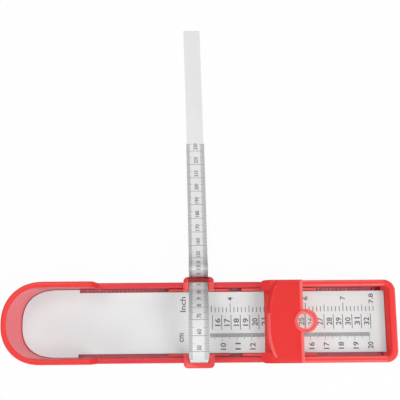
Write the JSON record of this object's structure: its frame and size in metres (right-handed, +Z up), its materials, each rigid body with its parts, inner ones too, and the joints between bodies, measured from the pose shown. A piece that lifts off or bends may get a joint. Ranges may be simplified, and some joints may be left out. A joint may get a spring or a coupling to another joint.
{
  "type": "foot measuring device",
  "caption": "Foot gauge with a heel cup, side rails round a printed scale plate, a sliding toe stop with a sight tube, and a girth tape on sliding buckles.",
  "frame": {"origin": "on the flat underside, midway between the heel end and the end bar, on the middle line", "axes": "+Z up, +X towards the toes, +Y towards the side where the tape's free end leaves"},
  "size_m": [0.26, 0.243, 0.0487],
  "materials": {
    "red_plastic": "moulded red ABS, soft gloss",
    "white_plastic": "moulded white plastic sheet, satin, with printed scales",
    "clear_plastic": "clear polished acrylic",
    "tape_vinyl": "white vinyl tape, satin, with printed marks",
    "zinc_steel": "zinc plated steel"
  },
  "bodies": {
    "frame": {"base_frame": "red_plastic", "scale_plate": "white_plastic", "plate_screw_1": "zinc_steel", "plate_screw_2": "zinc_steel", "plate_screw_3": "zinc_steel", "plate_screw_4": "zinc_steel"},
    "stop_slider": {"toe_stop": "red_plastic", "sight_window": "clear_plastic"},
    "right_slider": {"tape_loop_right": "red_plastic", "girth_tape": "tape_vinyl", "tape_pin_1": "zinc_steel", "tape_pin_2": "zinc_steel"},
    "left_slider": {"tape_loop_left": "red_plastic"}
  },
  "joints": [
    {"name": "toe_stop_slide", "type": "slide", "parent": "frame", "child": "stop_slider", "axis": [1, 0, 0], "range_m": [-0.0042, 0.0442]},
    {"name": "right_loop_slide", "type": "slide", "parent": "frame", "child": "right_slider", "axis": [1, 0, 0], "range_m": [-0.056, 0.0042]},
    {"name": "left_loop_slide", "type": "slide", "parent": "frame", "child": "left_slider", "axis": [1, 0, 0], "range_m": [-0.056, 0.0042]}
  ],
  "couplings": [
    {"joint": "left_loop_slide", "follows": "right_loop_slide", "ratio": 1}
  ]
}
